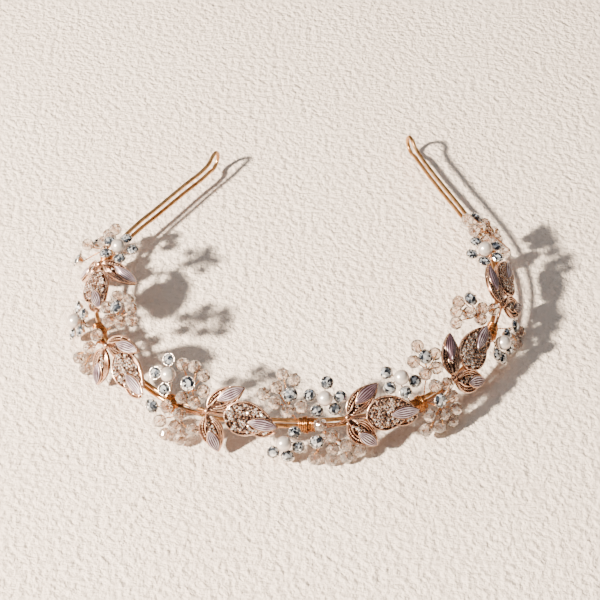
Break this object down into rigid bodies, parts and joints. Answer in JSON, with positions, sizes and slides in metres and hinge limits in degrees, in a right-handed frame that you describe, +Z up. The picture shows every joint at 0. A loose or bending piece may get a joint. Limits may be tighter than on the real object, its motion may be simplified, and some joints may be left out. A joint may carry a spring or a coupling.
{
  "type": "bridal tiara",
  "caption": "Open gold wire headband whose front carries leaf sprigs, pearl flowers with rhinestones and sprays of clear beads, worn in a bride's hair.",
  "frame": {"origin": "centre of the bounding box's bottom face, on the surface the tiara stands on", "axes": "+X from the wearer's left end to the right end as seen from the front, +Y from the dressed front back to the open ends, +Z up out of the surface"},
  "size_m": [0.1552, 0.1476, 0.0263],
  "materials": {
    "headband_gold": "polished pale gold plate on the band's wire",
    "binding_gold": "bright orange-gold fine wire",
    "rose_gold": "polished rose-gold plated casting",
    "lilac_enamel": "glossy ribbed lilac enamel",
    "pearl": "nacre-coated pearl",
    "rhinestone": "foil-backed clear brilliant-cut glass in metal cups",
    "champagne_glass": "clear faceted glass with a champagne tint"
  },
  "bodies": {
    "root": {"headband_wire": "headband_gold", "binding_wire_1": "binding_gold", "binding_wire_2": "binding_gold", "binding_wire_3": "binding_gold", "binding_wire_4": "binding_gold", "binding_wire_5": "binding_gold", "binding_wire_6": "binding_gold", "binding_wire_7": "binding_gold", "leaf_sprig_1_upper_petal": "lilac_enamel", "leaf_sprig_1_lower_petal": "lilac_enamel", "leaf_sprig_1_big_petal": "lilac_enamel", "leaf_sprig_1": "rose_gold", "leaf_sprig_2_upper_petal": "lilac_enamel", "leaf_sprig_2_lower_petal": "lilac_enamel", "leaf_sprig_2_big_petal": "lilac_enamel", "leaf_sprig_2": "rose_gold", "leaf_sprig_3_upper_petal": "lilac_enamel", "leaf_sprig_3_lower_petal": "lilac_enamel", "leaf_sprig_3_big_petal": "lilac_enamel", "leaf_sprig_3": "rose_gold", "leaf_sprig_4_upper_petal": "lilac_enamel", "leaf_sprig_4_lower_petal": "lilac_enamel", "leaf_sprig_4_big_petal": "lilac_enamel", "leaf_sprig_4": "rose_gold", "leaf_sprig_5_upper_petal": "lilac_enamel", "leaf_sprig_5_lower_petal": "lilac_enamel", "leaf_sprig_5_big_petal": "lilac_enamel", "leaf_sprig_5": "rose_gold", "leaf_sprig_6_upper_petal": "lilac_enamel", "leaf_sprig_6_lower_petal": "lilac_enamel", "leaf_sprig_6_big_petal": "lilac_enamel", "leaf_sprig_6": "rose_gold", "pearl_flower_1_stones": "rhinestone", "pearl_1": "pearl", "pearl_flower_2_stones": "rhinestone", "pearl_2": "pearl", "pearl_flower_3_stones": "rhinestone", "pearl_3": "pearl", "pearl_flower_4_stones": "rhinestone", "pearl_4": "pearl", "pearl_flower_5_stones": "rhinestone", "pearl_5": "pearl", "pearl_flower_6_stones": "rhinestone", "pearl_6": "pearl", "pearl_flower_7_stones": "rhinestone", "pearl_7": "pearl", "pearl_flower_8_stones": "rhinestone", "pearl_8": "pearl", "bead_spray_1": "champagne_glass", "bead_spray_2": "champagne_glass", "bead_spray_3": "champagne_glass", "bead_spray_4": "champagne_glass", "bead_spray_5": "champagne_glass", "bead_spray_6": "champagne_glass", "bead_spray_7": "champagne_glass", "bead_spray_8": "champagne_glass", "bead_spray_9": "champagne_glass", "bead_spray_10": "champagne_glass", "bead_spray_11": "champagne_glass", "bead_spray_12": "champagne_glass"}
  },
  "joints": []
}
